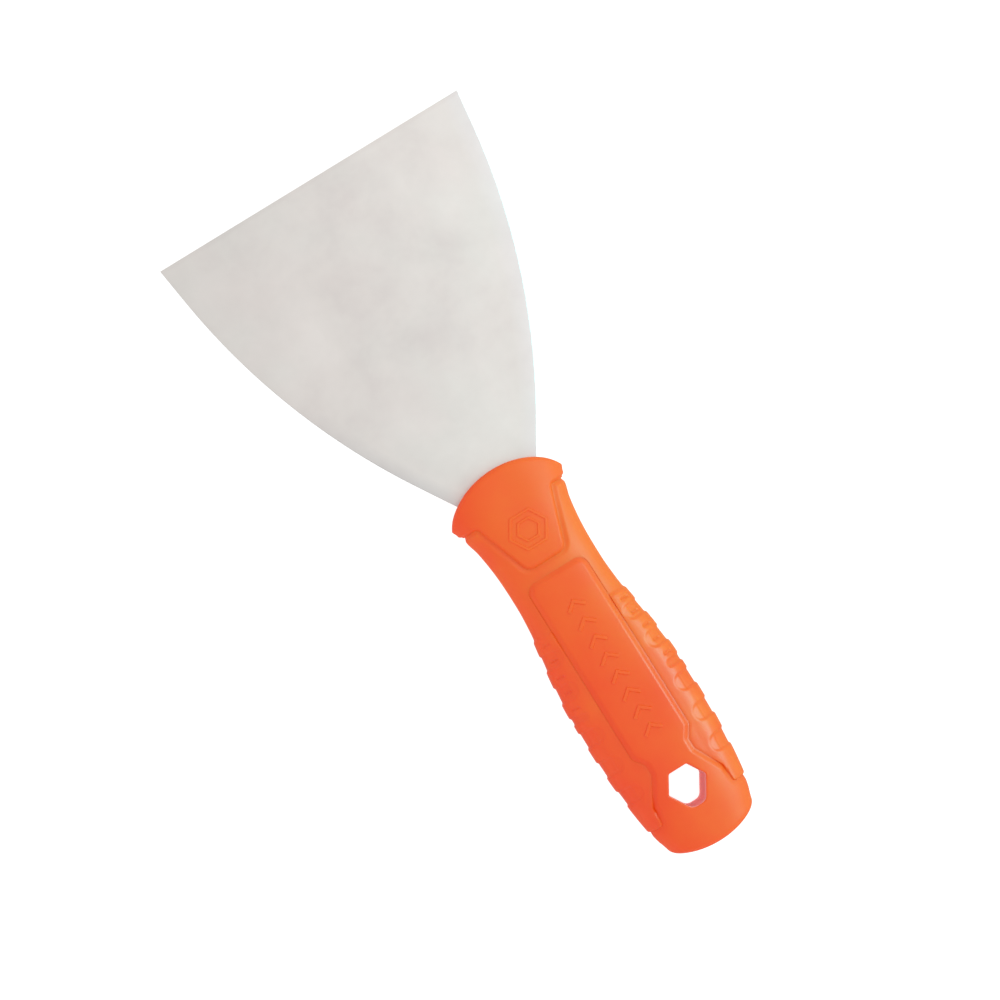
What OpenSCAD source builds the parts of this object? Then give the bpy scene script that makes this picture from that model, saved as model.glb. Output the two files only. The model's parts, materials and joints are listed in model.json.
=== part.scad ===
// Flexible putty knife: a spring-steel blade held by its tang in a two-shot moulded handle.
// Frame: X across the blade, +Y along the tool towards the working edge, +Z up from the lower face.
// The origin is below the middle of the tool, on the plane that the handle rests on.

/* [Blade] */
// Width of the working edge
blade_w = 101.6; // [96:0.1:106]
// Length of blade outside the handle, along the centre line
blade_out = 100; // [96:0.5:106]
// Thickness of the steel at the tang
blade_t = 1.0; // [0.8:0.05:1.2]
// Thickness of the steel just behind the edge bevel
edge_t = 0.5; // [0.4:0.05:0.7]
// Land left on the working edge
land_t = 0.28; // [0.2:0.02:0.4]
// Length of the bevel behind the working edge
bevel_l = 1.2; // [0.6:0.1:2]
// Radius of the curved sides
side_r = 205; // [195:1:215]
// Lean of the straight side behind the edge, in degrees
side_lean_front = 7.6; // [7:0.1:8.5]
// Lean of the side where it meets the handle, in degrees
side_lean_back = 31.8; // [31:0.1:32.5]
// Length of the straight side behind the edge
side_front_l = 12; // [10:0.5:14]

/* [Tang] */
// Width of the tang inside the handle
tang_w = 20; // [16:0.5:21]
// How far the tang reaches behind the nose of the handle
tang_l = 80; // [70:1:86]
// Diameter of the two locking holes in the tang
lock_d = 6; // [4:0.5:8]
// Distance of the first locking hole behind the nose
lock_1 = 30; // [26:1:34]
// Distance of the second locking hole behind the nose
lock_2 = 62; // [54:1:68]

/* [Flexing line] */
// Distance in front of the nose of the line that the blade bends about
flex_out = 33; // [12:0.5:45]
// Width of the parting gap on that line
flex_gap = 0.2; // [0.2:0.02:0.3]

/* [Handle] */
// Thickness over the flat faces
handle_t = 20; // [20:1:20]
// Length of the handle
handle_l = 125.5; // [125.5:0.5:125.5]
// Step from the raised panels down to the grip
step = 0.5; // [0.3:0.05:0.8]
// Thickness of the soft grip at the sides
grip_t = 2.2; // [1.8:0.1:2.6]
// Height of the grip ribs
rib_h = 0.35; // [0.2:0.05:0.5]
// Half-width of the long raised panel
panel_hw = 9.3; // [9:0.1:10]
// Corner radius of the raised panels
panel_r = 2.7; // [1.5:0.1:3]

/* [Hanging hole] */
// Length of the six-sided hole along the tool, between its flat ends
hex_l = 12; // [11:0.1:12.4]
// Width of the hole across its side corners
hex_w = 12.4; // [11.6:0.1:12.8]
// How far its side corners lie in front of its middle
hex_lead = 0.6; // [0:0.1:1]
// Width of its flat end towards the blade
hex_front = 6.0; // [5.4:0.1:6.4]
// Width of its flat end towards the butt
hex_back = 5.4; // [4.6:0.1:6.4]
// Distance of the middle of the hole behind the nose
hex_u = 107.3; // [107:0.1:107.6]

/* [Hidden] */
ORANGE = [0.95, 0.36, 0.12];
STEEL = [0.80, 0.79, 0.77];
zc = handle_t / 2;                          // mid-plane of the blade and of the handle
y_nose = (handle_l - blade_out) / 2;           // row Y of the nose of the handle
// Stations along the handle: [distance behind the nose, half-width]
HARD_W = [[0, 18.2], [0.5, 18.65], [1.2, 18.8], [4, 18.6], [8, 18.15], [12.3, 17.7],
          [16, 17.0], [22, 15.6], [30, 14.9], [40, 14.9], [50, 15.8], [62, 17.4], [74, 18.1],
          [88, 18.1], [100, 17.2], [108, 16.4], [113.6, 15.7], [116, 15.6], [119, 15.2],
          [122, 14.7], [124, 14.3], [125, 13.9], [125.5, 13.3]];
GRIP_W = [[11, 17.3], [14, 16.8], [18, 15.95], [22, 15.2], [26, 14.75], [30, 14.5], [35, 14.4],
          [40, 14.45], [45, 14.8], [48, 15.05], [54, 15.9], [58, 16.5], [64, 17.25], [70, 17.85],
          [74, 18.1], [80, 18.15], [86, 18.15], [92, 18.05], [98, 17.7], [103, 17.2],
          [108, 16.6], [114.5, 15.7]];
// Stations along the handle: [distance behind the nose, half-thickness of the raised faces]
HARD_H = [[0, 6.9], [0.5, 8.1], [1.2, 8.8], [2.5, 9.4], [4.5, 9.85], [7, 10.1], [12, 10.1],
          [16, 9.85], [22, 9.3], [30, 8.9], [36, 8.85], [44, 9.2], [52, 9.75], [60, 10.15],
          [70, 10.3], [86, 10.3], [98, 10.2], [108, 9.9], [116, 9.4], [121, 9.0],
          [123.5, 8.5], [124.8, 7.8], [125.5, 6.9]];
// Raised ribs along each side of the grip: [start, end]
RIBS = [[48.8, 53.7], [59, 63.7], [69, 73.8], [75.8, 78.4], [83.6, 88.3], [93.7, 98.3], [103.2, 113]];
N = 2.6;                                    // roundness of the section, 2 is an ellipse
M = 40;                                     // points around a section

// Smooth value of a station table at u
function slope(t, i) = i == 0 ? (t[1][1] - t[0][1]) / (t[1][0] - t[0][0])
    : i == len(t) - 1 ? (t[i][1] - t[i - 1][1]) / (t[i][0] - t[i - 1][0])
    : (t[i + 1][1] - t[i - 1][1]) / (t[i + 1][0] - t[i - 1][0]);
function seg(t, u, i = 0) = (i >= len(t) - 2 || u < t[i + 1][0]) ? i : seg(t, u, i + 1);
function at(t, u) = let(i = seg(t, u), L = t[i + 1][0] - t[i][0],
        k = min(1, max(0, (u - t[i][0]) / L)), k2 = k * k, k3 = k2 * k)
    (2 * k3 - 3 * k2 + 1) * t[i][1] + (k3 - 2 * k2 + k) * L * slope(t, i)
    + (3 * k2 - 2 * k3) * t[i + 1][1] + (k3 - k2) * L * slope(t, i + 1);
// Nose and butt are arcs in plan: sections near them follow the arc
function nose_arc(x) = 16 * (1 - sqrt(max(0, 1 - pow(x / 21, 2))));
function butt_arc(x) = 29.5 - sqrt(29.5 * 29.5 - x * x);
function plan_u(s, x) = s + nose_arc(x) * max(0, 1 - s / 12.3)
    - butt_arc(x) * pow(max(0, (s - 114) / (handle_l - 114)), 1.0);
function spow(v, e) = sign(v) * pow(abs(v), e);
function cap(z, lim) = sign(z) * min(abs(z), lim);
// One section: M points, anticlockwise seen from the nose
function section(s, w, h, lim) = [for (j = [0:M - 1]) let(a = 360 * j / M,
        x = w * spow(cos(a), 2 / N), z = cap(h * spow(sin(a), 2 / N), lim))
    [x, y_nose - plan_u(s, x), zc + z]];
// Closed loft through sections; each end is closed by strips from its upper to its lower points
function ring_faces(n) = [for (i = [0:n - 2], j = [0:M - 1]) let(k = (j + 1) % M, a = i * M, b = (i + 1) * M)
    each [[a + j, b + j, b + k], [a + j, b + k, a + k]]];
function end_faces(o, flip) = [for (j = [0:M / 2 - 1]) let(p = j, q = j + 1, r = (M - j - 1), t = (M - j) % M,
        f = j == 0 ? [[p, q, r]] : j == M / 2 - 1 ? [[p, q, t]] : [[p, q, r], [p, r, t]])
    each [for (v = f) flip ? [o + v[0], o + v[1], o + v[2]] : [o + v[2], o + v[1], o + v[0]]]];
module loft(sections) {
    n = len(sections);
    polyhedron(points = [for (s = sections) each s],
               faces = concat(ring_faces(n), end_faces(0, true), end_faces((n - 1) * M, false)));
}
HARD_S = [0, 0.5, 1.2, 2.5, 4.5, 7, 9.5, 12.3, 16, 20, 25, 30, 36, 42, 48, 54, 60, 68, 76, 86, 94,
          102, 108, 114, 117, 120, 122, 123.5, 124.6, 125.2, 125.5];
CORE_S = [8, 12, 16, 20, 25, 30, 36, 42, 48, 54, 60, 68, 76, 86, 94, 102, 108, 113, 116];
GRIP_S = concat([11, 14, 18, 22, 26, 30, 35, 40, 45, 48],
                [for (r = RIBS) each [r[0] - 0.25, r[0] + 0.25, r[1] - 0.3, r[1] + 0.5]], [114.5]);
function rib_at(s) = len([for (r = RIBS) if (s > r[0] && s < r[1]) 1]) > 0 ? rib_h : 0;
module hard_loft() loft([for (s = HARD_S) section(s, at(HARD_W, s), at(HARD_H, s), zc)]);
module grip_loft() loft([for (s = GRIP_S)
    section(s, at(GRIP_W, s) + rib_at(s), at(HARD_H, s) - step, zc - step)]);
module core_loft() loft([for (s = CORE_S)
    section(s, at(GRIP_W, s) - grip_t, at(HARD_H, s) - step - grip_t, zc - step - grip_t)]);

// Outline in plan with rounded corners: each corner is [x, distance behind the nose, radius]
function unit(v) = v / norm(v);
function corner(p, c, q, r) = let(a = unit(p - c), b = unit(q - c), half = acos(a * b) / 2,
        o = c + unit(a + b) * r / sin(half), s = c + a * r / tan(half), e = c + b * r / tan(half),
        a0 = atan2(s[1] - o[1], s[0] - o[0]), a1 = atan2(e[1] - o[1], e[0] - o[0]),
        d = a1 - a0 > 180 ? a1 - a0 - 360 : a1 - a0 < -180 ? a1 - a0 + 360 : a1 - a0)
    [for (i = [0:5]) o + r * [cos(a0 + d * i / 5), sin(a0 + d * i / 5)]];
function xy(p) = [p[0], p[1]];
function outline(c) = let(n = len(c)) [for (i = [0:n - 1])
    each c[i][2] == 0 ? [xy(c[i])] : corner(xy(c[(i + n - 1) % n]), xy(c[i]), xy(c[(i + 1) % n]), c[i][2])];
// Both sides from the right-hand side, turned into rows Y
function both(half) = concat(half, [for (i = [len(half) - 1:-1:0]) [-half[i][0], half[i][1], half[i][2]]]);
function both_y(half) = concat(half, [for (i = [len(half) - 1:-1:0]) [-half[i][0], half[i][1]]]);
function to_row(pts) = [for (p = pts) [p[0], y_nose - p[1]]];
// Collar and its badge tongue, then the long panel widening into the butt
BADGE = [[26, -5, 0], [26, 12.05, 0], [12.0, 12.35, 1.0], [5.9, 30.2, panel_r]];
PANEL = [[panel_hw, 35.0, panel_r], [panel_hw, 92.1, 0.8], [6.9, 95.7, 0.8], [6.9, 98.9, 0.8],
         [11.4, 107.5, 2], [11.6, 113.2, 0.8], [26, 113.75, 0], [26, 134, 0]];
module plateau() translate([0, 0, -2]) linear_extrude(handle_t + 4) {
    polygon(to_row(outline(both(BADGE))));
    polygon(to_row(outline(both(PANEL))));
}

// The steel in plan, one side, from the edge to the tang's end: [x, distance behind the edge]
a1 = side_lean_front;
a2 = side_lean_back;
p1 = [blade_w / 2 - side_front_l * tan(a1), side_front_l];
arc = [for (a = [a1:0.5:a2]) [p1[0] - side_r * (cos(a1) - cos(a)), p1[1] + side_r * (sin(a) - sin(a1))]];
p2 = arc[len(arc) - 1];
heel_t = (p2[0] - tang_w / 2) / tan(a2) + p2[1];
side = concat([[blade_w / 2, 0], p1], [for (i = [1:len(arc) - 1]) arc[i]],
              [[tang_w / 2, heel_t], [tang_w / 2, blade_out + tang_l - 4], [tang_w / 2 - 4, blade_out + tang_l]]);
y_edge = y_nose + blade_out;
steel_plan = concat([for (p = side) [p[0], y_edge - p[1]]],
                    [for (i = [len(side) - 1:-1:0]) [-side[i][0], y_edge - side[i][1]]]);
// The steel in side view: ground taper, then the edge bevel
steel_side = let(t = blade_t / 2, e = edge_t / 2, l = land_t / 2, ya = y_nose + 2, yb = y_edge - bevel_l, yt = y_nose - tang_l - 1)
    [[yt, -t], [ya, -t], [yb, -e], [y_edge, -l], [y_edge, l], [yb, e], [ya, t], [yt, t]];
module steel() difference() {
    intersection() {
        linear_extrude(handle_t) polygon(steel_plan);
        translate([60, 0, zc]) rotate([90, 0, -90]) linear_extrude(120) polygon([for (p = steel_side) [-p[0], p[1]]]);
    }
    for (u = [lock_1, lock_2]) translate([0, y_nose - u, -1]) cylinder(d = lock_d, h = handle_t + 2, $fn = 32);
}
y_flex = y_nose + flex_out;

module blade() color(STEEL) intersection() {
    steel();
    translate([-60, y_flex + flex_gap / 2, 0]) cube([120, 200, handle_t]);
}
module blade_tang() color(STEEL) intersection() {
    steel();
    translate([-60, y_flex - flex_gap / 2 - 200, 0]) cube([120, 200, handle_t]);
}
module hang_hole() translate([0, y_nose - hex_u, -3]) linear_extrude(handle_t + 6)
    polygon(both_y([[hex_front / 2, hex_l / 2], [hex_w / 2, hex_lead], [hex_back / 2, -hex_l / 2]]));
module handle_body() color(ORANGE) difference() {
    union() {
        intersection() { hard_loft(); plateau(); }
        core_loft();
    }
    hang_hole();
    steel();
}
module grip_overmould() color(ORANGE) difference() {
    grip_loft();
    plateau();
    core_loft();
}
blade();
blade_tang();
handle_body();
grip_overmould();
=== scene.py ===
"""Flexible putty knife: the looks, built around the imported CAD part. Lengths in this file are in
millimetres until a mesh is written, and metres after that."""
import bpy
import bmesh
import json
import math
import numpy as np
from mathutils import Matrix, Vector

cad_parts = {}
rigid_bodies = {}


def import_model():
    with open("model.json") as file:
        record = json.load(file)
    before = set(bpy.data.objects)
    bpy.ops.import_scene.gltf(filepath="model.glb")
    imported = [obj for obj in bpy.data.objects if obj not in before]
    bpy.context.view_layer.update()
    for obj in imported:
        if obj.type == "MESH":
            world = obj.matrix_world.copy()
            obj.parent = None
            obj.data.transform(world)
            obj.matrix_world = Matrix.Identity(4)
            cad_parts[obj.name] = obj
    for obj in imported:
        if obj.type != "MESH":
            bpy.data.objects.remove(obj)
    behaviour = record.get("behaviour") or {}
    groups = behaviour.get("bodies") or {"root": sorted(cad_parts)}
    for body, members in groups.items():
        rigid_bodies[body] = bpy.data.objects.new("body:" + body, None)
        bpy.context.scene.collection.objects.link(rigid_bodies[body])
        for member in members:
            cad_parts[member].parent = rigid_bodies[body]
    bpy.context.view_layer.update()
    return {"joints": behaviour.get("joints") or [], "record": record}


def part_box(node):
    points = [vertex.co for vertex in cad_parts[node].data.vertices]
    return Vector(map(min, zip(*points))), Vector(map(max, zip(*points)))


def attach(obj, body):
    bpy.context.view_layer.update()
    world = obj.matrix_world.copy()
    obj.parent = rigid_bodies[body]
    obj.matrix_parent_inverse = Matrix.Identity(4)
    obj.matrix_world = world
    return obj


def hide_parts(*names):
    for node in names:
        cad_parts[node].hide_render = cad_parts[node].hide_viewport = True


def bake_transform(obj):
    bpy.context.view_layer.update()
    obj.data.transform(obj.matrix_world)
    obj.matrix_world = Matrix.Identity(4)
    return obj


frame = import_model()

# ------------------------------------------------------------------ sizes taken from the frame
HB0, HB1 = [np.array(v) * 1000 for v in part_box("handle_body")]
BL0, BL1 = [np.array(v) * 1000 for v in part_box("blade")]
TG0, TG1 = [np.array(v) * 1000 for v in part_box("blade_tang")]
Y_NOSE = HB1[1]
Y_EDGE = BL1[1]
HALF_W = BL1[0]
LEN = HB1[1] - HB0[1]
ZC = (HB0[2] + HB1[2]) / 2
OUT = Y_EDGE - Y_NOSE
TANG_END = Y_EDGE - TG0[1]           # distance of the tang's end behind the working edge
J = frame["joints"][0]
HANDLE, FLEX = J["parent"], J["child"]


# ------------------------------------------------------------------ small helpers
def table(rows):
    """Smooth curve through [position, value] rows."""
    t = np.array(rows, float)
    x, y = t[:, 0], t[:, 1]
    m = np.empty(len(x))
    m[1:-1] = (y[2:] - y[:-2]) / (x[2:] - x[:-2])
    m[0] = (y[1] - y[0]) / (x[1] - x[0])
    m[-1] = (y[-1] - y[-2]) / (x[-1] - x[-2])

    def f(u):
        u = np.clip(np.asarray(u, float), x[0], x[-1])
        i = np.clip(np.searchsorted(x, u, side="right") - 1, 0, len(x) - 2)
        L = x[i + 1] - x[i]
        k = (u - x[i]) / L
        return ((2 * k**3 - 3 * k**2 + 1) * y[i] + (k**3 - 2 * k**2 + k) * L * m[i]
                + (3 * k**2 - 2 * k**3) * y[i + 1] + (k**3 - k**2) * L * m[i + 1])
    return f


def smooth(a, b, v):
    k = np.clip((np.asarray(v, float) - a) / (b - a), 0, 1)
    return k * k * (3 - 2 * k)


def softmin(z, lim, k=7.0):
    return -np.logaddexp(-k * z, -k * lim) / k


def rounded(corners, n=8):
    """Closed outline from corners [x, u, radius], each corner rounded."""
    c = np.array([p[:2] for p in corners], float)
    r = [p[2] for p in corners]
    out = []
    for i in range(len(c)):
        if r[i] == 0:
            out.append(c[i])
            continue
        a = c[i - 1] - c[i]
        b = c[(i + 1) % len(c)] - c[i]
        a /= np.linalg.norm(a)
        b /= np.linalg.norm(b)
        half = math.acos(np.clip(a @ b, -1, 1)) / 2
        m = (a + b) / np.linalg.norm(a + b)
        o = c[i] + m * r[i] / math.sin(half)
        s, e = c[i] + a * r[i] / math.tan(half), c[i] + b * r[i] / math.tan(half)
        a0 = math.atan2(*(s - o)[::-1])
        a1 = math.atan2(*(e - o)[::-1])
        d = (a1 - a0 + math.pi) % (2 * math.pi) - math.pi
        out += [o + r[i] * np.array([math.cos(a0 + d * k / n), math.sin(a0 + d * k / n)]) for k in range(n + 1)]
    return np.array(out)


def mirrored(half):
    return half + [[-p[0], p[1], p[2]] for p in half[::-1]]


def signed(poly, P):
    """Signed distance (negative inside) and its outward direction, for points P of shape (n, 2)."""
    best = np.full(len(P), 1e9)
    vec = np.zeros_like(P)
    inside = np.zeros(len(P), bool)
    for a, b in zip(poly, np.roll(poly, -1, 0)):
        ab = b - a
        k = np.clip(((P - a) @ ab) / (ab @ ab), 0, 1)
        q = a + k[:, None] * ab
        d = P - q
        l = np.hypot(d[:, 0], d[:, 1])
        m = l < best
        best[m] = l[m]
        vec[m] = d[m]
        if a[1] != b[1]:
            cross = ((a[1] > P[:, 1]) != (b[1] > P[:, 1])) & (
                P[:, 0] < (b[0] - a[0]) * (P[:, 1] - a[1]) / (b[1] - a[1]) + a[0])
            inside ^= cross
    sign = np.where(inside, -1.0, 1.0)
    grad = vec / np.maximum(best, 1e-9)[:, None] * sign[:, None]
    return best * sign, grad


def make(name, verts, faces, weld=0.0):
    me = bpy.data.meshes.new(name)
    me.from_pydata((np.asarray(verts) * 0.001).tolist(), [], [list(map(int, f)) for f in faces])
    if weld:
        bm = bmesh.new()
        bm.from_mesh(me)
        bmesh.ops.remove_doubles(bm, verts=bm.verts, dist=weld * 0.001)
        bmesh.ops.recalc_face_normals(bm, faces=bm.faces)
        bm.to_mesh(me)
        bm.free()
    me.update()
    ob = bpy.data.objects.new(name, me)
    bpy.context.scene.collection.objects.link(ob)
    return ob


def boolean(ob, other, op, keep=False):
    m = ob.modifiers.new("b", "BOOLEAN")
    m.operation = op
    m.object = other
    m.solver = "MANIFOLD"
    dg = bpy.context.evaluated_depsgraph_get()
    me = bpy.data.meshes.new_from_object(ob.evaluated_get(dg))
    ob.modifiers.remove(m)
    old = ob.data
    ob.data = me
    bpy.data.meshes.remove(old)
    me.name = ob.name
    if not keep:
        bpy.data.objects.remove(other)


def finish_mesh(ob, angle=34):
    bm = bmesh.new()
    bm.from_mesh(ob.data)
    bmesh.ops.remove_doubles(bm, verts=bm.verts, dist=2e-6)
    bmesh.ops.dissolve_degenerate(bm, edges=bm.edges, dist=1e-6)
    # keep only the shell that matters: crumbs left by the cuts go
    bm.verts.ensure_lookup_table()
    seen = set()
    parts = []
    for v in bm.verts:
        if v.index in seen:
            continue
        stack, part = [v], []
        seen.add(v.index)
        while stack:
            w = stack.pop()
            part.append(w)
            for e in w.link_edges:
                o = e.other_vert(w)
                if o.index not in seen:
                    seen.add(o.index)
                    stack.append(o)
        parts.append(part)
    parts.sort(key=len, reverse=True)
    for p in parts[1:]:
        if len(p) < 0.02 * len(parts[0]):
            bmesh.ops.delete(bm, geom=p, context="VERTS")
    bm.to_mesh(ob.data)
    bm.free()
    me = ob.data
    me.shade_smooth()
    me.set_sharp_from_angle(angle=math.radians(angle))
    me.update()
    return len([p for p in parts if len(p) >= 0.02 * len(parts[0])])


# ------------------------------------------------------------------ the handle's form
S_END = LEN
HARD_W = table([[0, 18.5], [1.5, 18.75], [4, 18.6], [8, 18.15], [12.3, 17.7], [16, 17.0], [22, 15.6],
                [30, 14.9], [40, 14.9], [50, 15.8], [62, 17.4], [74, 18.1], [88, 18.1], [100, 17.2],
                [108, 16.6], [113.6, 16.05], [116, 15.8], [119, 15.35], [121.5, 14.75], [123.5, 14.3], [S_END, 13.95]])
HARD_H = table([[0, 9.75], [2, 9.95], [4.5, 10.05], [7, 10.1], [12, 10.1], [16, 9.85], [22, 9.3], [30, 8.9],
                [36, 8.85], [44, 9.2], [52, 9.6], [60, 9.88], [70, 9.98], [86, 9.98], [98, 9.93],
                [108, 9.8], [116, 9.4], [121, 9.0], [S_END, 8.6]])
GRIP_W = table([[9, 17.6], [11, 17.3], [13.3, 16.95], [15, 16.7], [18, 15.85], [22, 15.2], [26, 14.75], [30, 14.5],
                [35, 14.4], [40, 14.45], [45, 14.8], [47.5, 15.05], [51, 15.55], [56, 16.3], [61, 17.0], [66, 17.55],
                [71, 18.0], [77, 18.1], [81, 18.15], [86, 18.15], [91, 18.05], [96, 17.85], [101, 17.45],
                [106, 17.0], [110, 16.5], [113, 16.05], [115, 15.7], [118, 15.3]])
R_NOSE, R_BUTT = 1.6, 1.7
N_SEC = 2.6


def nose_arc(x):
    return 16 * (1 - np.sqrt(np.maximum(0, 1 - (x / 21) ** 2)))


def butt_arc(x):
    return 29.5 - np.sqrt(29.5**2 - x**2)


def plan_u(s, x):
    return (s + nose_arc(x) * np.maximum(0, 1 - s / 12.3)
            - butt_arc(x) * np.maximum(0, (s - 114) / (S_END - 114)))


def end_round(s):
    """How far the section is drawn in by the rounding at both ends."""
    a = np.clip(1 - s / R_NOSE, 0, 1)
    b = np.clip(1 - (S_END - s) / R_BUTT, 0, 1)
    return R_NOSE * (1 - np.sqrt(1 - a * a)) + R_BUTT * (1 - np.sqrt(1 - b * b))


def drop(u):
    """Depth of the grip below the hard faces."""
    return 0.16 + 0.42 * smooth(28.5, 33.5, u) - 0.44 * smooth(107.0, 113.2, u)


def fade(u):
    """The edge of the long panel dies away towards the butt."""
    return 1 - 0.62 * smooth(107.0, 113.2, u)


class Skin:
    """A closed surface of rings along the handle. Faces are x-columns; sides share out their length."""

    def __init__(self, rows, xs, n_side, W, H, cap, cap_rows=5):
        self.s = np.asarray(rows, float)
        self.W, self.H, self.cap = W, H, cap
        xe = xs[-1]
        rings = []
        for s in self.s:
            w, h, lim = float(W(s)), float(H(s)), float(cap(s))
            top = np.stack([xs, self.height(xs, s)], 1)
            a = np.linspace(0, 1, 400)
            # from the face's edge round to the middle of the side
            phi0 = math.asin(min(1, (max(0, 1 - (xe / w) ** N_SEC)) ** 0.5))
            ph = phi0 * (1 - a)
            sx = w * np.cos(ph) ** (2 / N_SEC)
            sz = self.height(sx, s)
            sz[-1] = 0
            arc = np.concatenate([[0], np.cumsum(np.hypot(np.diff(sx), np.diff(sz)))])
            q = np.linspace(0, arc[-1], n_side + 1)[1:]
            px, pz = np.interp(q, arc, sx), np.interp(q, arc, sz)
            right = np.concatenate([np.stack([px, pz], 1), np.stack([px[:-1][::-1], -pz[:-1][::-1]], 1)])
            ring = np.concatenate([top, right, np.stack([xs[::-1], -top[::-1, 1]], 1), right[::-1] * [-1, 1]])
            rings.append(ring)
        R = np.array(rings)
        self.nx = len(xs)
        self.n = R.shape[1]
        self.x = R[..., 0]
        self.z = R[..., 1]
        self.sg = np.repeat(self.s[:, None], self.n, 1)
        self.is_top = np.zeros(self.n, bool)
        self.is_top[:self.nx] = True
        self.is_bot = np.zeros(self.n, bool)
        k = self.nx + 2 * n_side - 1
        self.is_bot[k:k + self.nx] = True
        self.mid = [self.nx + n_side - 1, k + self.nx + n_side - 1]
        self.split = np.zeros((len(self.s), self.n), bool)
        self.cap_rows = cap_rows

    def height(self, x, s):
        w, h, lim = self.W(s), self.H(s), self.cap(s)
        z = h * np.maximum(0, 1 - np.minimum(1, np.abs(x) / w) ** N_SEC) ** (1 / N_SEC)
        return np.maximum(0, softmin(z, lim) + 0.0) * (z > 0)

    def u(self):
        return plan_u(self.sg, self.x)

    def snap(self, poly, levels, cell, srange):
        """Draws face points that lie near a level line of the outline onto that line."""
        face = (self.is_top | self.is_bot)[None, :] & (self.sg > srange[0]) & (self.sg < srange[1])
        face &= np.abs(self.x) < 12.2
        idx = np.where(face)
        P = np.stack([self.x[idx], self.sg[idx]], 1)
        for _ in range(2):
            d, g = signed(poly, P)
            for c in levels:
                m = np.abs(d - c) < 0.5 * cell
                P[m] += g[m] * (c - d[m])[:, None]
        self.x[idx] = P[:, 0]
        self.sg[idx] = P[:, 1]
        sgn = np.where(self.is_top[idx[1]], 1.0, -1.0)
        self.z[idx] = sgn * self.height(P[:, 0], P[:, 1])

    def points(self):
        return np.stack([self.x, Y_NOSE - plan_u(self.sg, self.x), self.z], -1)

    def normals(self):
        P = self.points()
        du = np.gradient(P, axis=0)
        dv = np.roll(P, -1, 1) - np.roll(P, 1, 1)
        n = np.cross(dv, du)
        n /= np.maximum(np.linalg.norm(n, axis=-1), 1e-9)[..., None]
        return n

    def build(self, name, depth, key):
        """depth: how far each point sinks along its normal. key: the value whose level lines the split follows."""
        P = self.points()
        n = self.normals()
        # outward test at the middle ring
        k = len(self.s) // 2
        if n[k, self.nx // 2, 2] < 0:
            n = -n
        P = P - n * depth[..., None]
        P[..., 2] += ZC
        rows, cols = P.shape[:2]
        V = [P.reshape(-1, 3)]
        quads = []
        i = np.arange(rows - 1)[:, None] * cols
        j = np.arange(cols)[None, :]
        j2 = (j + 1) % cols
        A, B, C, D = (i + j), (i + cols + j), (i + cols + j2), (i + j2)
        kk = key.reshape(-1)
        A, B, C, D = [q.reshape(-1) for q in (A, B, C, D)]
        # split only where the level lines run across the quad
        quads = []
        spread = np.abs(kk[A] - kk[C]) - np.abs(kk[B] - kk[D])
        near = np.abs(kk[A]) < 3
        for a, b, c, d, sp, ne in zip(A, B, C, D, spread, near):
            if ne and abs(sp) > 0.05:
                if sp < 0:
                    quads += [(a, b, c), (a, c, d)]
                else:
                    quads += [(a, b, d), (b, c, d)]
            else:
                quads.append((a, b, c, d))
        base = rows * cols
        for end, row in ((0, 0), (1, rows - 1)):
            prev = np.arange(cols) + row * cols
            for c in range(1, self.cap_rows + 1):
                f = 1 - c / self.cap_rows
                R = P[row].copy()
                R[:, 2] = ZC + (R[:, 2] - ZC) * f
                V.append(R)
                cur = base + np.arange(cols)
                base += cols
                for a, b in zip(range(cols), np.roll(range(cols), -1)):
                    quads.append((prev[a], prev[b], cur[b], cur[a]) if end else (prev[b], prev[a], cur[a], cur[b]))
                prev = cur
        return make(name, np.concatenate(V), quads, weld=0.002)


# outlines of the raised faces, drawn at the foot of their slope: [x, distance behind the nose, radius]
TONGUE = rounded(mirrored([[26, -5, 0], [26, 12.2, 0], [12.95, 12.6, 1.2], [6.5, 30.75, 3.0]]))
PANEL = rounded(mirrored([[10.05, 34.1, 3.3], [10.05, 92.2, 0.7], [7.55, 95.75, 0.7], [7.55, 98.85, 0.7],
                          [12.1, 107.3, 1.6], [12.4, 113.1, 0.8], [26, 113.75, 0], [26, 134, 0]]))
SLOPE_T, SLOPE_P = 1.0, 1.9           # width of the slope of each raised face
DEEP_T, DEEP_P = 0.78, 0.70            # depth of its foot


def fields(skin):
    P = np.stack([skin.x.ravel(), skin.u().ravel()], 1)
    dt, _ = signed(TONGUE, P)
    dp, _ = signed(PANEL, P)
    sh = skin.x.shape
    return dt.reshape(sh), dp.reshape(sh)


def slope(d, width, deep, foot=0.17):
    """Depth of a raised face's edge: level, then down over width, then a foot."""
    k = np.clip((d + width) / width, 0, 1)
    # nearly straight with rounded shoulders
    e = 0.17
    full = 1 - e / 2 - foot / 2
    s = np.where(k < e, k * k / (2 * e), np.where(k > 1 - foot, full - (1 - k) ** 2 / (2 * foot), k - e / 2))
    s = s / full
    return deep * (0.85 * s + 0.15 * s * s)


def body_depth(dt, dp, u):
    a = slope(dt, SLOPE_T, DEEP_T)
    b = slope(dp, SLOPE_P, DEEP_P * fade(u), 0.36)
    d = np.minimum(a, b)
    out = np.minimum(dt, dp)
    under = 0.75 * smooth(0.0, 0.32, out) + 1.0 * smooth(0.32, 1.3, out)
    return d + under


# ------------------------------------------------------------------ ribs on the grip's sides
CHANNELS = [(56.0, 2.3, 0.0), (66.1, 2.5, 0.0), (74.6, 1.1, 0.6), (81.0, 2.5, 0.0), (91.0, 2.55, 0.0), (101.0, 2.5, 0.0)]
DASHES = [51.6, 56.4, 61.5, 66.4, 71.5]
RIB_H = 0.46


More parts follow.
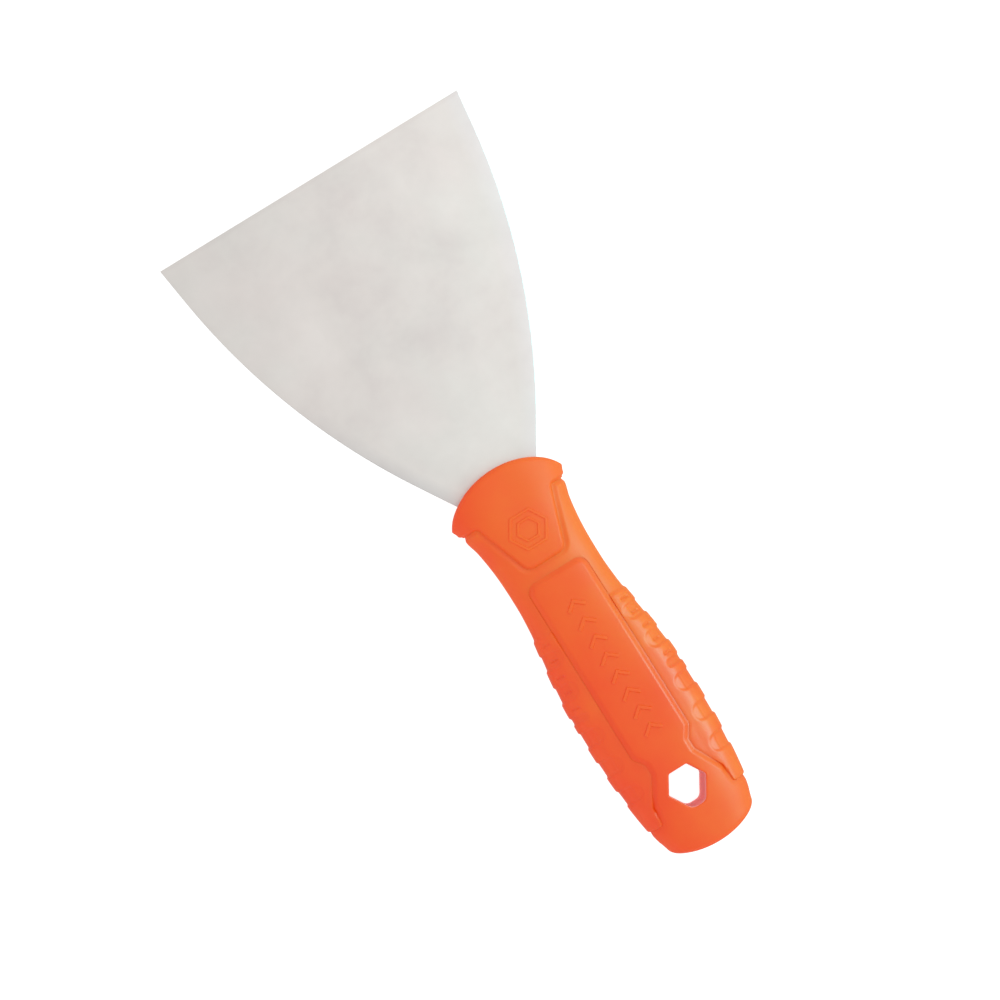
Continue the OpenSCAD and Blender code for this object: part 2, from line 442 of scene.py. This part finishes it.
def side_distance(skin):
    """Distance round the section from the middle of the nearer side."""
    P = np.stack([skin.x, skin.z], -1)
    step = np.hypot(*np.moveaxis(np.roll(P, -1, 1) - P, -1, 0))
    arc = np.concatenate([np.zeros((len(P), 1)), np.cumsum(step, 1)[:, :-1]], 1)
    total = step.sum(1, keepdims=True)
    out = None
    for m in skin.mid:
        d = np.abs(arc - arc[:, m:m + 1])
        d = np.minimum(d, total - d)
        out = d if out is None else np.minimum(out, d)
    return out


def rib_height(skin):
    u = skin.u()
    q = side_distance(skin)
    reach = 1 - smooth(8.0, 13.0, q)
    lift = RIB_H * reach * smooth(48.3, 49.6, u) * (1 - smooth(112.7, 113.5, u))
    for c, hw, cut in CHANNELS:
        qe = 10.6 - cut * 2
        du = np.abs(u - c)
        dq = np.maximum(0, q - (qe - hw))
        d = np.hypot(du, dq)                   # capsule round the side
        lift -= RIB_H * reach * (1 - smooth(hw - 0.36, hw + 0.36, d)) * np.where(dq > 0, 0.7, 1.0)
    for c in DASHES:
        du = np.abs(u - c)
        dq = np.maximum(0, np.abs(q - 6.9) - 1.1)
        d = np.hypot(du * 1.0, dq)
        lift -= 0.40 * (1 - smooth(0.1, 0.70, d))
    return lift


# ------------------------------------------------------------------ hard body
print("building the hard body")
nose = R_NOSE * (1 - np.cos(np.linspace(0, math.pi / 2, 8)))
butt = S_END - R_BUTT * (1 - np.cos(np.linspace(0, math.pi / 2, 8)))[::-1]
CELL = 0.33
mid = np.arange(nose[-1] + CELL, butt[0] - CELL / 2, CELL)
rows = np.concatenate([nose, mid, butt])
inner = np.linspace(-5, 5, 15)
outer = np.linspace(5, 12.6, int(7.6 / CELL) + 1)[1:]
xs = np.concatenate([-outer[::-1], inner, outer])
body = Skin(rows, xs, 26, lambda s: HARD_W(s) - end_round(s), lambda s: HARD_H(s) - end_round(s),
            lambda s: ZC - end_round(s))
body.snap(TONGUE, [-SLOPE_T, 0.0], CELL, (13.2, 33))
body.snap(PANEL, [-SLOPE_P, 0.0], CELL, (32, 112.3))
dt, dp = fields(body)
o_body = body.build("handle_shell", body_depth(dt, dp, body.u()), np.minimum(dt, dp))

# ------------------------------------------------------------------ grip
print("building the grip")
rows = np.arange(10.6, 115.6, CELL)
grip = Skin(rows, xs, 30, GRIP_W, lambda s: HARD_H(s) - drop(s), lambda s: ZC - drop(s))
EDGE_T, EDGE_P = -0.04, -0.08
grip.snap(TONGUE, [EDGE_T], CELL, (13.2, 33))
grip.snap(PANEL, [EDGE_P], CELL, (32, 112.3))
dt, dp = fields(grip)
dg = drop(grip.u())
lip_t = np.maximum(0, DEEP_T - 0.03 - dg) * (1 - smooth(EDGE_T + 0.1, EDGE_T + 1.55, dt))
lip_p = np.maximum(0, DEEP_P * fade(grip.u()) - 0.04 - dg) * (1 - smooth(EDGE_P, EDGE_P + 0.6, dp))
out = np.minimum(dt - EDGE_T, dp - EDGE_P)
sink = 1.3 * smooth(0.0, 0.5, -out)
o_grip = grip.build("grip_sleeve", lip_t + lip_p + sink - rib_height(grip), out)

# ------------------------------------------------------------------ cutters and raised marks
def top_z(x, u):
    """Height of the hard upper face over the frame's floor."""
    return ZC + body.height(np.asarray(x, float), np.asarray(u, float))


HOLE = -(frame["record"]["mounts"][1]["pos_m"][1] * 1000 - Y_NOSE)
HEX = np.array([[3.0, -6.0], [6.2, -0.6], [2.2, 6.0], [-2.2, 6.0], [-6.2, -0.6], [-3.0, -6.0]])
HEX_R = [0.8, 1.0, 2.5, 2.5, 1.0, 0.8]


def hex_ring(off, n_edge=6):
    """The hole's outline moved out by off, with rounded corners: (x, distance towards the butt)."""
    e = np.roll(HEX, -1, 0) - HEX
    nrm = np.stack([e[:, 1], -e[:, 0]], 1) / np.linalg.norm(e, axis=1)[:, None]
    if (nrm[0] @ (HEX[0] + HEX[1])) < 0:
        nrm = -nrm
    c = (nrm * HEX).sum(1) + off
    crn = [np.linalg.solve(np.array([nrm[i - 1], nrm[i]]), np.array([c[i - 1], c[i]])) for i in range(6)]
    arcs = rounded([[q[0], q[1], r + off] for q, r in zip(crn, HEX_R)], 5).reshape(6, 6, 2)
    pts = []
    for i in range(6):
        a, b = arcs[i][-1], arcs[(i + 1) % 6][0]
        pts += list(arcs[i]) + [a + (b - a) * k / n_edge for k in range(1, n_edge)]
    return np.array(pts)


def hole_cutter():
    r = 0.55
    prof = [(r + 0.35, -2.0), (r + 0.35, -0.05)] + [(r * (1 - math.sin(t)), r * (1 - math.cos(t)))
                                                   for t in np.linspace(0.06, math.pi / 2, 7)]
    rings = []
    for off, d in prof:
        p = hex_ring(off)
        rings.append(np.stack([p[:, 0], Y_NOSE - HOLE - p[:, 1], top_z(p[:, 0], HOLE + p[:, 1]) - d], 1))
    low = [np.stack([q[:, 0], q[:, 1], 2 * ZC - q[:, 2]], 1) for q in rings[::-1]]
    rings += low
    n = len(rings[0])
    V = np.concatenate(rings)
    F = [(i * n + j, i * n + (j + 1) % n, (i + 1) * n + (j + 1) % n, (i + 1) * n + j)
         for i in range(len(rings) - 1) for j in range(n)]
    F += [tuple(range(n))[::-1], tuple((len(rings) - 1) * n + j for j in range(n))]
    return make("cut", V, F, weld=0.0005)


def ridge(path, hw, h, closed=False, bev=0.16, step=0.35):
    """A raised line on the upper face: path of (x, u) points, mitred at its corners."""
    path = [np.array(p, float) for p in path]
    n = len(path)
    pts, side = [], []
    for i in range(n if closed else n - 1):
        a, b = path[i], path[(i + 1) % n]
        m = max(1, int(np.linalg.norm(b - a) / step))
        for k in range(m):
            pts.append(a + (b - a) * k / m)
            side.append((i, k))
    if not closed:
        pts.append(path[-1])
        side.append((n - 1, 0))

    def nrm(a, b):
        d = (b - a) / np.linalg.norm(b - a)
        return np.array([-d[1], d[0]])
    N = []
    for (i, k) in side:
        if closed:
            n0, n1 = nrm(path[i - 1], path[i]), nrm(path[i], path[(i + 1) % n])
        else:
            n1 = nrm(path[min(i, n - 2)], path[min(i, n - 2) + 1])
            n0 = nrm(path[i - 1], path[i]) if i > 0 else n1
        v = n1 if k else (n0 + n1) / (1 + n0 @ n1)
        N.append(v)
    pts, N = np.array(pts), np.array(N)
    prof = [(-hw, -0.5), (-hw, 0.0), (-hw + bev * 0.35, h * 0.6), (-hw + bev, h), (hw - bev, h), (hw - bev * 0.35, h * 0.6), (hw, 0.0), (hw, -0.5)]
    V = []
    for w, z in prof:
        p = pts + N * w
        V.append(np.stack([p[:, 0], Y_NOSE - p[:, 1], top_z(p[:, 0], p[:, 1]) + z], 1))
    V = np.array(V).transpose(1, 0, 2)
    m, k = V.shape[:2]
    F = []
    for i in range(m if closed else m - 1):
        for j in range(k):
            a, b = i * k + j, i * k + (j + 1) % k
            c, d = ((i + 1) % m) * k + (j + 1) % k, ((i + 1) % m) * k + j
            F.append((a, b, c, d))
    if not closed:
        F += [tuple(range(k))[::-1], tuple((m - 1) * k + j for j in range(k))]
    return make("mark", V.reshape(-1, 3), F, weld=0.0002)


boolean(o_grip, o_body, "DIFFERENCE", keep=True)
boolean(o_body, hole_cutter(), "DIFFERENCE")
print("grip shells", finish_mesh(o_grip, 38))

BADGE_U = 20.2
for rx, ru, hw in ((6.1, 5.0, 0.42), (3.5, 2.9, 0.36)):
    hexa = [(rx * math.cos(math.radians(60 * k)), BADGE_U + ru * math.sin(math.radians(60 * k)) / math.sin(math.radians(60)))
            for k in range(6)]
    boolean(o_body, ridge(hexa, hw, 0.24, closed=True), "UNION")
for k in range(8):
    c = 44.6 + 5.95 * k
    boolean(o_body, ridge([(-2.8, c + 2.3), (0, c), (2.8, c + 2.3)], 0.58, 0.26), "UNION")

# ------------------------------------------------------------------ steel: one sheet from the edge to the tang's end
print("building the steel")
A1, A2, SIDE_R, FRONT = math.radians(7.6), math.radians(31.8), 205.0, 12.0
arc = np.radians(np.arange(7.6, 31.8 + 1e-9, 0.5))
side = [[HALF_W, 0], [HALF_W - FRONT * math.tan(A1), FRONT]]
side += [[side[1][0] - SIDE_R * (math.cos(A1) - math.cos(a)), FRONT + SIDE_R * (math.sin(a) - math.sin(A1))] for a in arc[1:]]
TW = 10.0
heel = (side[-1][0] - TW) / math.tan(arc[-1]) + side[-1][1]
side += [[TW, heel], [TW, TANG_END - 4], [TW - 4, TANG_END]]
side = np.array(side)
ts = np.unique(np.round(np.concatenate([[0, 0.06, 0.3, 0.7, 1.2, 1.3, 2, 3, 4, 6], np.arange(8, 70, 2.0), np.arange(70, OUT + 2, 1.0),
                                        np.arange(OUT + 3, heel, 2.0), [heel, heel + 0.5], np.arange(heel + 4, TANG_END - 4, 6),
                                        [TANG_END - 4, TANG_END - 2, TANG_END]]), 4))
nx = 41


def steel_half(t):
    y = Y_EDGE - t
    ya, yb = Y_NOSE + 2, Y_EDGE - 1.2
    if y <= ya:
        return 0.5
    if y <= yb:
        return 0.5 + (0.25 - 0.5) * (y - ya) / (yb - ya)
    return 0.25 + (0.14 - 0.25) * (y - yb) / (Y_EDGE - yb)


rings = []
for t in ts:
    hw = float(np.interp(t, side[:, 1], side[:, 0]))
    h = steel_half(t)
    c = 0.10 if t > 0.05 else 0.03
    xt = np.linspace(2.2 - hw, hw - 2.2, nx - 6)
    xt = np.concatenate([[c - hw, 0.7 - hw, 1.4 - hw], xt, [hw - 1.4, hw - 0.7, hw - c]])
    roll = np.full(nx, h)
    roll[[0, -1]] -= 0.014
    roll[[1, -2]] -= 0.005
    roll[[2, -3]] -= 0.001
    top = np.stack([xt, roll], 1)
    ring = np.concatenate([top, [[hw - 0.03, h - c * 0.5], [hw, h - c], [hw, -h + c], [hw - 0.03, -h + c * 0.5]],
                           top[::-1] * [1, -1], [[-hw + 0.03, -h + c * 0.5], [-hw, -h + c], [-hw, h - c], [-hw + 0.03, h - c * 0.5]]])
    rings.append(np.stack([ring[:, 0], np.full(len(ring), Y_EDGE - t), ZC + ring[:, 1]], 1))
n = len(rings[0])
V = np.concatenate(rings)
F = [(i * n + j, (i + 1) * n + j, (i + 1) * n + (j + 1) % n, i * n + (j + 1) % n) for i in range(len(rings) - 1) for j in range(n)]


def end_cap(o, flip):
    """Quads between the upper and lower points of an end ring."""
    out = []
    up = [n - 1] + list(range(nx)) + [nx]
    dn = [n - 4] + list(range(nx + 4 + nx - 1, nx + 3, -1)) + [nx + 3]
    up = [n - 2] + up + [nx + 1]
    dn = [n - 3] + dn + [nx + 2]
    for a, b, c, d in zip(up[:-1], up[1:], dn[1:], dn[:-1]):
        out.append((o + a, o + b, o + c, o + d) if flip else (o + d, o + c, o + b, o + a))
    return out


F += end_cap(0, True) + end_cap((len(rings) - 1) * n, False)
o_blade = make("blade_sheet", V, F, weld=0.0005)


def disc(x, y, r, m=40):
    a = np.linspace(0, 2 * math.pi, m, endpoint=False)
    V = np.concatenate([np.stack([x + r * np.cos(a), y + r * np.sin(a), np.full(m, z)], 1) for z in (ZC - 3, ZC + 3)])
    F = [(j, (j + 1) % m, m + (j + 1) % m, m + j) for j in range(m)] + [tuple(range(m))[::-1], tuple(range(m, 2 * m))]
    return make("cut", V, F, weld=0.0005)


for u in (30, 62):
    boolean(o_blade, disc(0, Y_NOSE - u, 3), "DIFFERENCE")
slot = bpy.data.objects.new("slot", o_blade.data.copy())
bpy.context.scene.collection.objects.link(slot)
co = np.array([v.co for v in slot.data.vertices])
zc = ZC / 1000
co[:, 2] = zc + (co[:, 2] - zc) * 1.08
co[:, 0] *= 1.002
slot.data.vertices.foreach_set("co", co.ravel().astype(np.float32))
slot.data.update()
boolean(o_body, slot, "DIFFERENCE")
print("body shells", finish_mesh(o_body, 38), "faces", len(o_body.data.polygons), len(o_grip.data.polygons))
finish_mesh(o_blade, 20)


# ------------------------------------------------------------------ materials
def new_mat(name):
    m = bpy.data.materials.new(name)
    m.use_nodes = True
    nt = m.node_tree
    b = nt.nodes["Principled BSDF"]
    return m, nt, b


def node(nt, kind, **kw):
    n = nt.nodes.new(kind)
    for k, v in kw.items():
        setattr(n, k, v)
    return n


def lin(r, g, b):
    f = lambda c: c / 12.92 if c <= 0.04045 else ((c + 0.055) / 1.055) ** 2.4
    return (f(r / 255), f(g / 255), f(b / 255), 1)


def plastic(name, c0, c1, c2, painted_edge_highlight, rough, gloss, seed):
    m, nt, b = new_mat(name)
    L = nt.links.new
    tc = node(nt, "ShaderNodeTexCoord")
    # slow drift of the pigment
    n1 = node(nt, "ShaderNodeTexNoise")
    n1.inputs["Scale"].default_value = 38
    n1.inputs["Detail"].default_value = 3
    n1.inputs["Roughness"].default_value = 0.5
    mp = node(nt, "ShaderNodeMapping")
    mp.inputs["Location"].default_value = (seed, seed * 2, 0)
    L(tc.outputs["Object"], mp.inputs["Vector"])
    L(mp.outputs["Vector"], n1.inputs["Vector"])
    r1 = node(nt, "ShaderNodeValToRGB")
    r1.color_ramp.elements[0].position = 0.3
    r1.color_ramp.elements[0].color = c0
    r1.color_ramp.elements[1].position = 0.7
    r1.color_ramp.elements[1].color = c2
    e = r1.color_ramp.elements.new(0.5)
    e.color = c1
    # and a yellower tone towards the collar
    oy = node(nt, "ShaderNodeSeparateXYZ")
    L(tc.outputs["Object"], oy.inputs[0])
    gy = node(nt, "ShaderNodeMapRange")
    gy.inputs["From Min"].default_value = -0.1128
    gy.inputs["From Max"].default_value = 0.0128
    L(oy.outputs["Y"], gy.inputs["Value"])
    gr = node(nt, "ShaderNodeValToRGB")
    for k, (t, v) in enumerate(((0.0, 0.42), (0.08, 0.37), (0.2, 0.28), (0.33, 0.25), (0.45, 0.31), (0.54, 0.39), (0.68, 0.46), (0.8, 0.52), (1.0, 0.56))):
        e = gr.color_ramp.elements[k] if k < 2 else gr.color_ramp.elements.new(1.0)
        e.position = t
        e.color = (v, v, v, 1)
    L(gy.outputs["Result"], gr.inputs["Fac"])
    g0 = node(nt, "ShaderNodeMath", operation="SUBTRACT")
    g0.inputs[1].default_value = 0.3
    L(gr.outputs["Color"], g0.inputs[0])
    ad = node(nt, "ShaderNodeMath", operation="ADD")
    L(n1.outputs["Fac"], ad.inputs[0])
    L(g0.outputs["Value"], ad.inputs[1])
    # the colour also drifts across the handle, yellower and lighter on the right, redder and darker on the left:
    # painted light from the right and painted shade on the left
    gx = node(nt, "ShaderNodeMath", operation="MULTIPLY_ADD")
    gx.inputs[1].default_value = 10.0
    L(oy.outputs["X"], gx.inputs[0])
    L(ad.outputs["Value"], gx.inputs[2])
    L(gx.outputs["Value"], r1.inputs["Fac"])
    # convex edges turn a touch paler and yellower: painted highlight along the rims
    geo = node(nt, "ShaderNodeNewGeometry")
    pr = node(nt, "ShaderNodeMapRange")
    pr.inputs["From Min"].default_value = 0.53
    pr.inputs["From Max"].default_value = 0.62
    pr.inputs["To Max"].default_value = 0.35
    L(geo.outputs["Pointiness"], pr.inputs["Value"])
    mx = node(nt, "ShaderNodeMix", data_type="RGBA")
    L(pr.outputs["Result"], mx.inputs["Factor"])
    L(r1.outputs["Color"], mx.inputs[6])
    mx.inputs[7].default_value = painted_edge_highlight
    L(mx.outputs[2], b.inputs["Base Color"])
    b.inputs["Specular IOR Level"].default_value = gloss
    # gloss: fine moulding texture in roughness and bump
    n2 = node(nt, "ShaderNodeTexNoise")
    n2.inputs["Scale"].default_value = 900
    n2.inputs["Detail"].default_value = 2
    L(tc.outputs["Object"], n2.inputs["Vector"])
    rr = node(nt, "ShaderNodeMapRange")
    rr.inputs["To Min"].default_value = -0.05
    rr.inputs["To Max"].default_value = 0.07
    L(n1.outputs["Fac"], rr.inputs["Value"])
    ry = node(nt, "ShaderNodeMapRange")
    ry.inputs["From Min"].default_value = -0.1128
    ry.inputs["From Max"].default_value = 0.0128
    L(oy.outputs["Y"], ry.inputs["Value"])
    rc = node(nt, "ShaderNodeValToRGB")
    for k, (t, v) in enumerate(((0.0, 0.12), (0.09, 0.10), (0.2, -0.03), (0.55, -0.04), (0.8, 0.12), (1.0, 0.15))):
        e = rc.color_ramp.elements[k] if k < 2 else rc.color_ramp.elements.new(1.0)
        e.position = t
        e.color = (rough + v, rough + v, rough + v, 1)
    L(ry.outputs["Result"], rc.inputs["Fac"])
    rs = node(nt, "ShaderNodeMath", operation="ADD")
    L(rr.outputs["Result"], rs.inputs[0])
    L(rc.outputs["Color"], rs.inputs[1])
    L(rs.outputs["Value"], b.inputs["Roughness"])
    n3 = node(nt, "ShaderNodeTexNoise")
    n3.inputs["Scale"].default_value = 130
    n3.inputs["Detail"].default_value = 2
    L(tc.outputs["Object"], n3.inputs["Vector"])
    b1 = node(nt, "ShaderNodeBump")
    b1.inputs["Strength"].default_value = 0.12
    b1.inputs["Distance"].default_value = 0.0001
    L(n2.outputs["Fac"], b1.inputs["Height"])
    b2 = node(nt, "ShaderNodeBump")
    b2.inputs["Strength"].default_value = 0.10
    b2.inputs["Distance"].default_value = 0.0006
    L(n3.outputs["Fac"], b2.inputs["Height"])
    L(b1.outputs["Normal"], b2.inputs["Normal"])
    L(b2.outputs["Normal"], b.inputs["Normal"])
    b.inputs["Subsurface Weight"].default_value = 0.15
    b.inputs["Subsurface Radius"].default_value = (1.0, 0.30, 0.12)
    b.inputs["Subsurface Scale"].default_value = 0.0022
    b.inputs["IOR"].default_value = 1.49
    return m


# the fourth colour in each call is the paler painted highlight laid on convex edges
m_body = plastic("handle_plastic", lin(245, 70, 1), lin(246, 80, 2), lin(246, 90, 4), lin(245, 110, 36), 0.37, 0.54, 0.3)
m_grip = plastic("grip_plastic", lin(245, 70, 2), lin(246, 81, 3), lin(246, 97, 5), lin(245, 112, 38), 0.37, 0.58, 1.7)
# pink base colour for the hole's wall: painted reflection and painted light passing through the plastic
m_wall_painted_light = plastic("hole_wall_painted_light", lin(255, 158, 156), lin(255, 161, 159), lin(255, 165, 162), lin(255, 163, 158), 0.5, 0.22, 0.9)

m_steel, nt, b = new_mat("blade_steel")
L = nt.links.new
tc = node(nt, "ShaderNodeTexCoord")
# cloudy lighter and darker patches with pink and green tints over them: painted reflection of the surroundings in the
# polished steel
cl = node(nt, "ShaderNodeTexNoise")
cl.inputs["Scale"].default_value = 37
cl.inputs["Detail"].default_value = 4
cl.inputs["Roughness"].default_value = 0.62
cl.inputs["Distortion"].default_value = 0.1
L(tc.outputs["Object"], cl.inputs["Vector"])
ramp = node(nt, "ShaderNodeValToRGB")
ramp.color_ramp.elements[0].position = 0.30
ramp.color_ramp.elements[0].color = lin(220, 212, 209)
ramp.color_ramp.elements[1].position = 0.72
ramp.color_ramp.elements[1].color = lin(234, 227, 223)
e = ramp.color_ramp.elements.new(0.5)
e.color = lin(228, 221, 217)
L(cl.outputs["Fac"], ramp.inputs["Fac"])
hue = node(nt, "ShaderNodeTexNoise")
hue.inputs["Scale"].default_value = 34
hue.inputs["Detail"].default_value = 2
mp = node(nt, "ShaderNodeMapping")
mp.inputs["Location"].default_value = (3.1, 1.7, 0.4)
L(tc.outputs["Object"], mp.inputs["Vector"])
L(mp.outputs["Vector"], hue.inputs["Vector"])
hr = node(nt, "ShaderNodeValToRGB")
hr.color_ramp.elements[0].position = 0.35
hr.color_ramp.elements[0].color = (0.93, 1.0, 0.965, 1)
hr.color_ramp.elements[1].position = 0.65
hr.color_ramp.elements[1].color = (1.0, 0.94, 0.93, 1)
e = hr.color_ramp.elements.new(0.5)
e.color = (1, 0.99, 0.975, 1)
L(hue.outputs["Fac"], hr.inputs["Fac"])
mul = node(nt, "ShaderNodeMix", data_type="RGBA", blend_type="MULTIPLY")
mul.inputs["Factor"].default_value = 0.21
L(ramp.outputs["Color"], mul.inputs[6])
L(hr.outputs["Color"], mul.inputs[7])
# the base colour brightens a little from the left side to the right: painted light from the right
sx = node(nt, "ShaderNodeSeparateXYZ")
L(tc.outputs["Object"], sx.inputs[0])
gx = node(nt, "ShaderNodeMapRange")
gx.inputs["From Min"].default_value = -0.042
gx.inputs["From Max"].default_value = 0.036
gx.inputs["To Min"].default_value = 0.955
gx.inputs["To Max"].default_value = 1.062
L(sx.outputs["X"], gx.inputs["Value"])
gm = node(nt, "ShaderNodeMix", data_type="RGBA", blend_type="MULTIPLY")
gm.inputs["Factor"].default_value = 1.0
L(mul.outputs[2], gm.inputs[6])
L(gx.outputs["Result"], gm.inputs[7])
# the sheet's half width, a cubic in Y, gives the distance from each side edge
hw = sx.outputs["Y"]
for k, (c1, c0) in enumerate(((6.5586, -4.1202), (None, 0.77336), (None, 0.00646))):
    h = node(nt, "ShaderNodeMath", operation="MULTIPLY_ADD")
    L(hw, h.inputs[0])
    if k == 0:
        h.inputs[1].default_value = c1
    else:
        L(sx.outputs["Y"], h.inputs[1])
    h.inputs[2].default_value = c0
    hw = h.outputs["Value"]
tone = gm.outputs[2]
# the right edge is painted a touch brighter and bluer, painted light and reflection from the right; the left edge is
# painted duller where it narrows, painted shade
for op, reach, tint in (("SUBTRACT", 0.0060, (1.035, 1.045, 1.08, 1)), ("ADD", 0.0048, (0.86, 0.87, 0.89, 1))):
    d = node(nt, "ShaderNodeMath", operation=op)
    L(hw, d.inputs[0])
    L(sx.outputs["X"], d.inputs[1])
    f = node(nt, "ShaderNodeMapRange")
    f.inputs["From Min"].default_value = reach
    f.inputs["From Max"].default_value = 0.0
    L(d.outputs["Value"], f.inputs["Value"])
    fac = f.outputs["Result"]
    if op == "ADD":
        near = node(nt, "ShaderNodeMapRange")
        near.inputs["From Min"].default_value = 0.062
        near.inputs["From Max"].default_value = 0.026
        L(sx.outputs["Y"], near.inputs["Value"])
        both = node(nt, "ShaderNodeMath", operation="MULTIPLY")
        L(fac, both.inputs[0])
        L(near.outputs["Result"], both.inputs[1])
        fac = both.outputs["Value"]
    t = node(nt, "ShaderNodeMix", data_type="RGBA", blend_type="MULTIPLY")
    L(fac, t.inputs["Factor"])
    L(tone, t.inputs[6])
    t.inputs[7].default_value = tint
    tone = t.outputs[2]
L(tone, b.inputs["Base Color"])
b.inputs["Metallic"].default_value = 1.0
# grinding lines run along the blade; they show in roughness and bump
st = node(nt, "ShaderNodeMapping")
st.inputs["Scale"].default_value = (2600, 34, 34)
L(tc.outputs["Object"], st.inputs["Vector"])
gr = node(nt, "ShaderNodeTexNoise")
gr.inputs["Scale"].default_value = 1.0
gr.inputs["Detail"].default_value = 3
L(st.outputs["Vector"], gr.inputs["Vector"])
rm = node(nt, "ShaderNodeMapRange")
rm.inputs["From Min"].default_value = 0.3
rm.inputs["From Max"].default_value = 0.7
rm.inputs["To Min"].default_value = 0.28
rm.inputs["To Max"].default_value = 0.32
L(gr.outputs["Fac"], rm.inputs["Value"])
L(rm.outputs["Result"], b.inputs["Roughness"])
bp = node(nt, "ShaderNodeBump")
bp.inputs["Strength"].default_value = 0.02
bp.inputs["Distance"].default_value = 0.00004
L(gr.outputs["Fac"], bp.inputs["Height"])
sw = node(nt, "ShaderNodeTexNoise")
sw.inputs["Scale"].default_value = 60
sw.inputs["Detail"].default_value = 3
L(tc.outputs["Object"], sw.inputs["Vector"])
bq = node(nt, "ShaderNodeBump")
bq.inputs["Strength"].default_value = 0.05
bq.inputs["Distance"].default_value = 0.0004
L(sw.outputs["Fac"], bq.inputs["Height"])
L(bp.outputs["Normal"], bq.inputs["Normal"])
L(bq.outputs["Normal"], b.inputs["Normal"])

for ob, m in ((o_body, m_body), (o_grip, m_grip), (o_blade, m_steel)):
    ob.data.materials.clear()
    ob.data.materials.append(m)
# the hanging hole's wall gets its own pink base colour: painted reflection and painted light, standing in for the
# grazing reflection and the light through the plastic that make the wall look pinker
o_body.data.materials.append(m_wall_painted_light)
for f in o_body.data.polygons:
    c = f.center
    if abs(f.normal.z) < 0.45 and math.hypot(c.x, c.y - (Y_NOSE - HOLE) / 1000) < 0.0074:
        f.material_index = 1

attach(o_body, HANDLE)
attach(o_grip, HANDLE)
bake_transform(o_blade)
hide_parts("handle_body")
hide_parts("grip_overmould")
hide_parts("blade", "blade_tang")

# ------------------------------------------------------------------ floor, light, camera
bpy.ops.mesh.primitive_plane_add(size=6, location=(0, 0, 0))
floor = bpy.context.object
floor.name = "floor"
fm, nt, b = new_mat("floor")
b.inputs["Base Color"].default_value = (0.30, 0.30, 0.30, 1)
b.inputs["Roughness"].default_value = 0.9
b.inputs["Specular IOR Level"].default_value = 0.1
b.inputs["Emission Color"].default_value = (1, 1, 1, 1)
b.inputs["Emission Strength"].default_value = 0.94
floor.data.materials.append(fm)
floor.visible_glossy = False          # the rims would mirror the floor's glow

world = bpy.data.worlds.new("studio")
bpy.context.scene.world = world
world.use_nodes = True
nt = world.node_tree
L = nt.links.new
bg = nt.nodes["Background"]
tc = node(nt, "ShaderNodeTexCoord")
dot = node(nt, "ShaderNodeVectorMath", operation="DOT_PRODUCT")
dot.inputs[1].default_value = (0.95, -0.31, 0.0)
L(tc.outputs["Generated"], dot.inputs[0])
mr = node(nt, "ShaderNodeMapRange")
mr.inputs["From Min"].default_value = -1.0
mr.inputs["From Max"].default_value = 1.0
L(dot.outputs["Value"], mr.inputs["Value"])
sky = node(nt, "ShaderNodeValToRGB")
SKY = ((-1.0, 0.84), (-0.25, 0.84), (-0.05, 0.86), (0.12, 1.0), (0.35, 1.02), (1.0, 0.95))
for i, (t, v) in enumerate(SKY):
    e = sky.color_ramp.elements[i] if i < 2 else sky.color_ramp.elements.new(1.0)
    if i == 1:
        e = sky.color_ramp.elements[1]
    e.position = (t + 1) / 2
    e.color = (v / 1.5, v / 1.5, v / 1.5, 1)
L(mr.outputs["Result"], sky.inputs["Fac"])
# dim below the horizon
sz = node(nt, "ShaderNodeSeparateXYZ")
L(tc.outputs["Generated"], sz.inputs[0])
low = node(nt, "ShaderNodeMapRange")
low.inputs["From Min"].default_value = -0.30
low.inputs["From Max"].default_value = -0.02
low.inputs["To Min"].default_value = 0.40
low.inputs["To Max"].default_value = 1.0
L(sz.outputs["Z"], low.inputs["Value"])
dim = node(nt, "ShaderNodeMix", data_type="RGBA", blend_type="MULTIPLY")
dim.inputs["Factor"].default_value = 1.0
L(sky.outputs["Color"], dim.inputs[6])
L(low.outputs["Result"], dim.inputs[7])
L(dim.outputs[2], bg.inputs["Color"])
bg.inputs["Strength"].default_value = 1.5


def area(name, loc, size, watts, target=(0, 0, 0), color=(1, 1, 1)):
    d = bpy.data.lights.new(name, "AREA")
    d.shape = "RECTANGLE"
    d.size, d.size_y = size
    d.energy = watts
    d.color = color
    o = bpy.data.objects.new(name, d)
    bpy.context.scene.collection.objects.link(o)
    o.location = loc
    o.rotation_euler = (Vector(target) - Vector(loc)).to_track_quat("-Z", "Y").to_euler()
    return o


area("key", (0.72, -0.20, 0.68), (0.46, 0.5), 4.6, (0, -0.06, 0), (0.10, 0.95, 0.94))
low_key = area("low key", (0.97, -0.06, 0.22), (0.36, 0.62), 3.4, (0, -0.05, 0), (0.10, 1.0, 0.18))
low_key.visible_glossy = False        # it tints the rims and stays out of the steel

cam = bpy.data.cameras.new("camera")
cam.sensor_fit = "HORIZONTAL"
cam.sensor_width = 36
cam.lens = 2920.58 * 36 / 1000
cam.clip_start = 0.01
cam.clip_end = 20
co = bpy.data.objects.new("camera", cam)
bpy.context.scene.collection.objects.link(co)
right = Vector((0.84800137, -0.52875437, 0.03622829))
down = Vector((-0.52725383, -0.84858578, -0.04365292))
fwd = right.cross(down)
m = Matrix((right, -down, -fwd)).transposed().to_4x4()
m.translation = Vector((-0.04770, -0.01107, 0.85860))
co.matrix_world = m
bpy.context.scene.camera = co
bpy.context.scene.view_settings.view_transform = "Standard"
bpy.context.scene.view_settings.look = "None"
